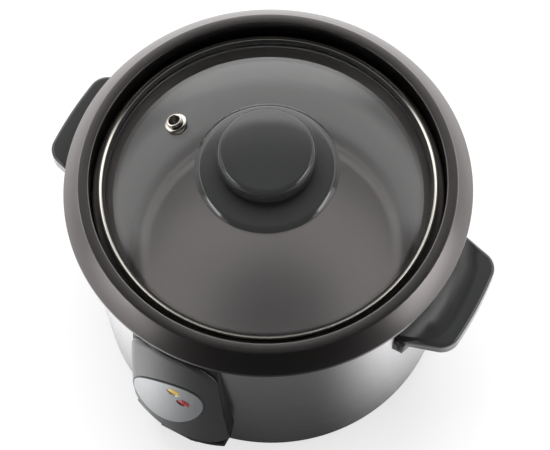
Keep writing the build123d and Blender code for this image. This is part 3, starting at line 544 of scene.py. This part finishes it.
def dome_height(r, lift=0.0):
    """Height of the lid glass's outer face at a radius, or of a face above it."""
    return GLASS_TOP_Z - GLASS_DOME_R + sqrt((GLASS_DOME_R + lift) ** 2 - r * r)


def along(start, end, count):
    """Evenly spaced numbers from start to end."""
    return [start + (end - start) * i / (count - 1) for i in range(count)]


def face_up(bm):
    """Turn a skin so that the face at its middle looks up."""
    middle = min(bm.faces, key=lambda f: f.calc_center_median().to_2d().length)
    if middle.normal.z < 0:
        bmesh.ops.reverse_faces(bm, faces=bm.faces)


def make_bowl():
    outline = [
        (RIM_R, RIM_LOW_Z),
        (RIM_R, RIM_Z),
        (RING_OUT_R, RING_Z),
        (RECESS_R, RING_Z),
        (RECESS_R, LEDGE_Z),
        (BOWL_R, LEDGE_Z),
        (BOWL_FLOOR_R, BOWL_FLOOR_Z),
        (0, BOWL_FLOOR_Z),
    ]
    bends = {
        1: RIM_LIP_BEND,
        2: RING_BEND,
        3: RECESS_TOP_BEND,
        4: RECESS_FOOT_BEND,
        5: LEDGE_BEND,
        6: BOWL_CORNER_R,
    }
    bm = turned(outline, bends, BODY_STEPS)
    face_up(bm)
    sheet_wall(bm, BOWL_T)
    put_in_place(bm, "cooking_bowl")


def cut_window(bm, window, side):
    """Cut a square window through a skin, at the back (1) or the front (-1)."""
    half, low, high = window
    upright = [((x, 0, 0), (1, 0, 0)) for x in (-half, half)]
    level = [((0, 0, z), (0, 0, 1)) for z in (low, high)]
    for spot, way in upright + level:
        near = [f for f in bm.faces if f.calc_center_median().y * side > 0]
        edges = {e for f in near for e in f.edges}
        verts = {v for f in near for v in f.verts}
        around = near + list(edges) + list(verts)
        bmesh.ops.bisect_plane(bm, geom=around, plane_co=spot, plane_no=way, dist=WELD)

    def inside(face):
        spot = face.calc_center_median()
        return spot.y * side > 0 and abs(spot.x) < half and low < spot.z < high

    bmesh.ops.delete(bm, geom=[f for f in bm.faces if inside(f)], context="FACES")


def make_casing():
    outline = [
        (CASING_FLANGE_R, CASING_Z),
        (CASING_BOTTOM_R, CASING_Z),
        (CASING_TOP_R, CASING_TOP_Z),
        (CASING_COLLAR_R, CASING_TOP_Z),
    ]
    bm = turned(outline, {1: CASING_BOTTOM_BEND, 2: CASING_TOP_BEND}, BODY_STEPS)
    cut_window(bm, INLET_HOLE, 1)
    cut_window(bm, LEVER_SLOT, -1)
    sheet_wall(bm, CASING_T)
    put_in_place(bm, "outer_casing")


def make_lid_glass():
    outer = [(r, dome_height(r)) for r in along(SCREW_R, GLASS_EDGE_R, GLASS_POINTS)]
    inner = [(r, dome_height(r, -GLASS_T)) for r in along(GLASS_EDGE_R, SCREW_R, GLASS_POINTS)]
    bm = turned(outer + inner, {}, GLASS_STEPS, closed=True)
    put_in_place(bm, "lid_glass", SMOOTHED_SHARP)


def make_lid_rim():
    outline = [
        (LID_LIP_R, LID_LIP_Z),
        (LID_RIM_R, LID_RIM_TOP_Z),
        (LID_RIM_R, LEDGE_Z),
        (LID_LIP_R, LEDGE_Z),
    ]
    bm = turned(outline, {1: LID_RIM_TOP_BEND, 2: LID_RIM_FOOT_BEND}, BODY_STEPS)
    sheet_wall(bm, LID_RIM_T)
    put_in_place(bm, "lid_steel_rim")


def flange_height(r):
    """Height of the knob flange's domed face at a radius."""
    edge_z = dome_height(FLANGE_R) + FLANGE_EDGE_H
    return edge_z - sqrt(FLANGE_CROWN_R**2 - FLANGE_R**2) + sqrt(FLANGE_CROWN_R**2 - r * r)


def make_knob_flange():
    edge = [(FLANGE_R, dome_height(FLANGE_R) + FLANGE_SIDE_H)]
    pocket_r = NECK_R + FLANGE_GAP
    crown_r = FLANGE_R - FLANGE_SLOPE_W
    crown = [(r, flange_height(r)) for r in along(crown_r, pocket_r, FLANGE_POINTS)]
    pocket = [(pocket_r, KNOB_SEAT_Z), (SCREW_R, KNOB_SEAT_Z)]
    under_radii = along(SCREW_R, FLANGE_R, FLANGE_UNDER_POINTS)
    under = [(r, dome_height(r, FLANGE_GAP)) for r in under_radii]
    bends = {0: FLANGE_SIDE_BEND, 1: FLANGE_SLOPE_BEND}
    bm = turned(edge + crown + pocket + under, bends, KNOB_STEPS, closed=True)
    put_in_place(bm, "knob_flange")


def make_knob():
    rise = KNOB_TOP_Z - KNOB_SHOULDER_Z
    crown_r = (KNOB_R**2 + rise**2) / (2 * rise)
    centre_z = KNOB_TOP_Z - crown_r
    crown = [(r, centre_z + sqrt(crown_r**2 - r * r)) for r in along(KNOB_R, 0, KNOB_POINTS)]
    outline = [
        (0, KNOB_SEAT_Z),
        (NECK_R, KNOB_SEAT_Z),
        (NECK_R, KNOB_UNDER_Z),
        (KNOB_UNDER_R, KNOB_UNDER_Z),
        (KNOB_R, KNOB_SIDE_Z),
        *crown,
    ]
    bm = turned(outline, {3: KNOB_SIDE_BEND, 4: KNOB_SIDE_BEND, 5: KNOB_EDGE_R}, KNOB_STEPS)
    put_in_place(bm, "lid_knob")


def barrel_radius(z):
    """Radius of the pod's bulging face at a height: the circle through its three stations."""
    (r0, z0), (r1, z1), (r2, z2) = POD_TOP, POD_FACE, POD_WAIST
    d = 2 * (r0 * (z1 - z2) + r1 * (z2 - z0) + r2 * (z0 - z1))
    s0, s1, s2 = r0 * r0 + z0 * z0, r1 * r1 + z1 * z1, r2 * r2 + z2 * z2
    centre_r = (s0 * (z1 - z2) + s1 * (z2 - z0) + s2 * (z0 - z1)) / d
    centre_z = (s0 * (r2 - r1) + s1 * (r0 - r2) + s2 * (r1 - r0)) / d
    return centre_r + sqrt((r0 - centre_r) ** 2 + (z0 - centre_z) ** 2 - (z - centre_z) ** 2)


def cover_half_width(z):
    """Half the cover's width at a height, with its large top corners and small foot corners."""
    share = (z - COVER_BOTTOM_Z) / (COVER_TOP_Z - COVER_BOTTOM_Z)
    straight = COVER_BOTTOM_HALF_W + (COVER_TOP_HALF_W - COVER_BOTTOM_HALF_W) * share
    into_top = max(0.0, z - (COVER_TOP_Z - COVER_CORNER_R))
    into_foot = max(0.0, COVER_BOTTOM_Z + COVER_FOOT_CORNER_R - z)
    top_loss = COVER_CORNER_R - sqrt(max(0.0, COVER_CORNER_R**2 - into_top**2))
    foot_loss = COVER_FOOT_CORNER_R - sqrt(max(0.0, COVER_FOOT_CORNER_R**2 - into_foot**2))
    return straight - top_loss - foot_loss


def roll_back(inset):
    """How far the cover's face falls back at a distance in from its outline."""
    share = max(0.0, 1 - inset / COVER_ROLL_W)
    return COVER_ROLL_DEPTH * (1 - sqrt(1 - share * share))


def make_pod_cover():
    bm = bmesh.new()
    bmesh.ops.create_grid(bm, x_segments=COVER_COLUMNS, y_segments=COVER_ROWS, size=1)
    for vert in bm.verts:
        across, up = sin(vert.co.x * pi / 2), (1 + sin(vert.co.y * pi / 2)) / 2
        z = COVER_BOTTOM_Z + (COVER_TOP_Z - COVER_BOTTOM_Z) * up
        x = across * cover_half_width(z)
        inset = min((1 - abs(across)) * cover_half_width(z), COVER_TOP_Z - z)
        y = POD_AXIS_Y - sqrt(barrel_radius(z) ** 2 - x * x) + roll_back(inset)
        vert.co = (x, y, z)
    bmesh.ops.recalc_face_normals(bm, faces=bm.faces)
    if bm.faces[:][0].normal.y > 0:
        bmesh.ops.reverse_faces(bm, faces=bm.faces)
    bmesh.ops.solidify(bm, geom=bm.faces[:], thickness=COVER_T - COVER_ROLL_DEPTH)
    bmesh.ops.recalc_face_normals(bm, faces=bm.faces)
    put_in_place(bm, "pod_cover")


def make_vent_eyelet():
    outline = [
        (EYELET_BORE_R, EYELET_NUT_LOW),
        (EYELET_NUT_R, EYELET_NUT_LOW),
        (EYELET_NUT_R, EYELET_NUT_TOP),
        (EYELET_TUBE_R, EYELET_NUT_TOP),
        (EYELET_TUBE_R, EYELET_COLLAR_LOW),
        (EYELET_COLLAR_R, EYELET_COLLAR_LOW),
        (EYELET_COLLAR_R, EYELET_COLLAR_TOP),
        (EYELET_TUBE_R, EYELET_COLLAR_TOP),
        (EYELET_TUBE_R, EYELET_TOP),
        (EYELET_BORE_R, EYELET_TOP),
    ]
    bends = {5: EYELET_COLLAR_ROUND, 6: EYELET_ROUND, 8: EYELET_ROUND, 9: EYELET_MOUTH_ROUND}
    bm = turned(outline, bends, EYELET_STEPS, closed=True)
    lean = asin(VENT_R / GLASS_DOME_R)
    turn = radians(VENT_ANGLE)
    foot = Vector((VENT_R * cos(turn), VENT_R * sin(turn), dome_height(VENT_R)))
    place = Matrix.Translation(foot) @ Matrix.Rotation(turn, 4, "Z") @ Matrix.Rotation(lean, 4, "Y")
    bmesh.ops.transform(bm, matrix=place, verts=bm.verts)
    put_in_place(bm, "vent_eyelet")


# Picture: camera, lamp, floor, and the shells and cards that shape the reflections, in metres
IMAGE_W = 550
FOCAL_PX = 1850.0
SENSOR_MM = 36.0
VIEW_AZIMUTH = radians(31.0)
VIEW_ELEVATION = radians(63.146)
VIEW_DISTANCE = 1.08327
VIEW_YAW = radians(0.160)
VIEW_PITCH = radians(1.282)
VIEW_ROLL = radians(2.702)
FLOOR_HALF = 4.0
FLOOR_GLOW = 0.7
FILL = 0.5
LAMP_AIM_Z = 150.0  # millimetres, like RIM_Z
DARK_TONES = (0.022, 0.032)
BACK_GLOW = 3.2
BACK_RISE = 0.2
SIDE_GLOW = 2.4
CLOTH_LIFT = 0.001
CLOTH_TURN = -3.0
CLOTH_SHARE = 0.92
SHELL_STEP = 0.1

# Where a shell or cloth starts and where it is full, by how far a direction leans its way
CLOTH_AHEAD = (0.6, 0.97)
CANOPY_AHEAD = (-0.35, 0.5)
GLOW_BEHIND = (0.80, 0.96)
SIDE_BEHIND = (-0.05, 0.20)
SIDE_LOW_EDGE = (0.36, 0.50)
SIDE_HIGH_EDGE = (0.74, 0.62)


def outward(azimuth, elevation):
    """Direction away from the cooker; azimuth is counted from the front, towards +X."""
    level = cos(elevation)
    return Vector((sin(azimuth) * level, -cos(azimuth) * level, sin(elevation)))


def facing_cooker(azimuth, elevation, distance, aim_z):
    """Place and turn of a lamp or card that faces a height on the cooker's axis."""
    way = outward(radians(azimuth), radians(elevation))
    turn = way.to_track_quat("Z", "Y").to_matrix().to_4x4()
    return Matrix.Translation(Vector((0, 0, aim_z * MM)) + way * distance) @ turn


def set_camera():
    """Stand the camera where the photo was taken from, aimed near the middle of the rim."""
    aim = Vector((0, 0, RIM_Z * MM))
    back = outward(VIEW_AZIMUTH, VIEW_ELEVATION)
    right = Vector((cos(VIEW_AZIMUTH), sin(VIEW_AZIMUTH), 0))
    aimed = Matrix((right, back.cross(right), back))
    lean = (
        Matrix.Rotation(VIEW_ROLL, 3, "Z")
        @ Matrix.Rotation(VIEW_PITCH, 3, "X")
        @ Matrix.Rotation(VIEW_YAW, 3, "Y")
    )
    camera = bpy.data.cameras.new("camera")
    camera.sensor_width = SENSOR_MM
    camera.lens = FOCAL_PX * SENSOR_MM / IMAGE_W
    stand = add_object("camera", camera)
    turn = (lean @ aimed).transposed().to_4x4()
    stand.matrix_world = Matrix.Translation(aim + back * VIEW_DISTANCE) @ turn
    bpy.context.scene.camera = stand


def softbox(name, azimuth, elevation, distance, width, height, watts):
    """Rectangular lamp that faces the cooker and isn't seen itself."""
    lamp = bpy.data.lights.new(name, "AREA")
    lamp.shape = "RECTANGLE"
    lamp.size = width
    lamp.size_y = height
    lamp.energy = watts
    stand = add_object(name, lamp)
    stand.matrix_world = facing_cooker(azimuth, elevation, distance, LAMP_AIM_Z)
    stand.visible_camera = False
    stand.visible_glossy = False
    stand.visible_transmission = False


def stage_piece(name, bm, material, seen=True):
    """A piece of the stage; one that isn't seen only shows in reflections."""
    mesh = bpy.data.meshes.new(name)
    bm.to_mesh(mesh)
    bm.free()
    mesh.materials.append(material)
    piece = add_object(name, mesh)
    piece.visible_camera = seen
    piece.visible_shadow = seen
    piece.visible_diffuse = seen
    piece.visible_transmission = seen


def square(half, z):
    """Level square at a height."""
    bm = bmesh.new()
    place = Matrix.Translation((0, 0, z))
    bmesh.ops.create_grid(bm, x_segments=1, y_segments=1, size=half, matrix=place)
    return bm


def shell_finish(shell, share, low, high):
    """Glow between two tones, on a shell that thins out to nothing where its share falls to 0."""
    clear = shell.node("ShaderNodeBsdfTransparent")
    tone = shell.blend(shell.noise(5), (low,) * 3, (high,) * 3)
    glow = shell.node("ShaderNodeEmission", inputs={"Color": tone})
    shell.material.cycles.emission_sampling = "NONE"
    return shell.mixed(share, clear, glow)


def floor_cloth_finish(way):
    """Dark cloth on the floor along a way from the cooker."""
    cloth = Finish("dark_floor_cloth")
    share = CLOTH_SHARE * cloth.ramp(cloth.facing(way), *CLOTH_AHEAD)
    return shell_finish(cloth, share, *DARK_TONES)


def sky_shell(name, radius, low, high, *leanings):
    """Shell round the stage, seen only in reflections, where its (way, start, full) leanings let it."""
    shell = Finish(name)
    bm = bmesh.new()
    bmesh.ops.create_uvsphere(bm, u_segments=64, v_segments=32, radius=radius)
    share = 1.0
    for way, start, full in leanings:
        share = share * shell.ramp(shell.facing(way.normalized()), start, full)
    stage_piece(name, bm, shell_finish(shell, share, low, high), seen=False)


def floor_finish():
    """White paper that keeps a soft shadow: the camera sees it partly lit from below."""
    paper = Finish("floor_paper")
    white = paper.blend(paper.noise(6), (0.95, 0.95, 0.95), (0.97, 0.97, 0.97))
    paper.surface(Base_Color=white, Roughness=0.9)
    seen = paper.node("ShaderNodeLightPath", output="Is Camera Ray")
    glow = paper.node("ShaderNodeEmission", inputs={"Color": (1, 1, 1, 1), "Strength": 1.0})
    return paper.mixed(FLOOR_GLOW * seen, paper.principled(), glow)


def reflector(name, azimuth, elevation, distance, width, height, level):
    """Pale card that faces the cooker and only shows in reflections."""
    card = Finish(name)
    tone = card.blend(card.noise(5), (0.92 * level,) * 3, (level,) * 3)
    card.show(card.node("ShaderNodeEmission", inputs={"Color": tone}))
    bm = bmesh.new()
    bmesh.ops.create_grid(bm, x_segments=1, y_segments=1, size=0.5)
    bmesh.ops.scale(bm, vec=(width, height, 1), verts=bm.verts)
    place = facing_cooker(azimuth, elevation, distance, RIM_Z)
    bmesh.ops.transform(bm, matrix=place, verts=bm.verts)
    stage_piece(name, bm, card.material, seen=False)


def set_stage():
    """White floor and surroundings, with the room dark above and behind the camera."""
    up = Vector((0, 0, 1))
    ahead = outward(VIEW_AZIMUTH, 0)
    cloth_way = Matrix.Rotation(radians(CLOTH_TURN), 3, "Z") @ ahead
    cloth = square(FLOOR_HALF, CLOTH_LIFT)
    stage_piece("floor", square(FLOOR_HALF, 0), floor_finish())
    stage_piece("dark_floor_cloth", cloth, floor_cloth_finish(cloth_way), seen=False)
    sky_shell("dark_canopy", FLOOR_HALF, *DARK_TONES, (ahead + up, *CANOPY_AHEAD))
    back = (BACK_RISE * up - ahead, *GLOW_BEHIND)
    sky_shell("back_glow", FLOOR_HALF - SHELL_STEP, BACK_GLOW, BACK_GLOW, back)
    sides = (-ahead, *SIDE_BEHIND), (up, *SIDE_LOW_EDGE), (up, *SIDE_HIGH_EDGE)
    sky_shell("side_glow", FLOOR_HALF - 2 * SHELL_STEP, SIDE_GLOW, SIDE_GLOW, *sides)
    for side, wide, wide_level, streak in (("left", -40, 1.2, -44), ("right", 104, 2.1, 106)):
        reflector(side + "_reflector", azimuth=wide, elevation=14, distance=1.3,
                  width=0.90, height=0.45, level=wide_level)
        reflector(side + "_streak", azimuth=streak, elevation=24, distance=1.2,
                  width=0.50, height=0.14, level=6.0)
    softbox("key_light", azimuth=211, elevation=75, distance=2.0, width=1.6, height=1.6, watts=56.0)
    world = bpy.data.worlds.new("studio")
    world.use_nodes = True
    bpy.context.scene.world = world
    sky = Finish("studio", world.node_tree)
    seen = sky.node("ShaderNodeLightPath", output="Is Camera Ray")
    glossy = sky.node("ShaderNodeLightPath", output="Is Glossy Ray")
    through = sky.node("ShaderNodeLightPath", output="Is Transmission Ray")
    sky.plug(world.node_tree.nodes["Background"].inputs["Color"],
             sky.blend(seen + glossy + through, (FILL,) * 3, (1.0, 1.0, 1.0)))
    bpy.context.scene.view_settings.view_transform = "Standard"


dress_cad_nodes()
make_bowl()
make_casing()
make_lid_glass()
make_lid_rim()
make_knob_flange()
make_knob()
make_pod_cover()
make_vent_eyelet()
make_springs()
for node in SMOOTHED_NODES:
    smooth_copy(node, SMOOTHED_SHARP)
set_camera()
set_stage()
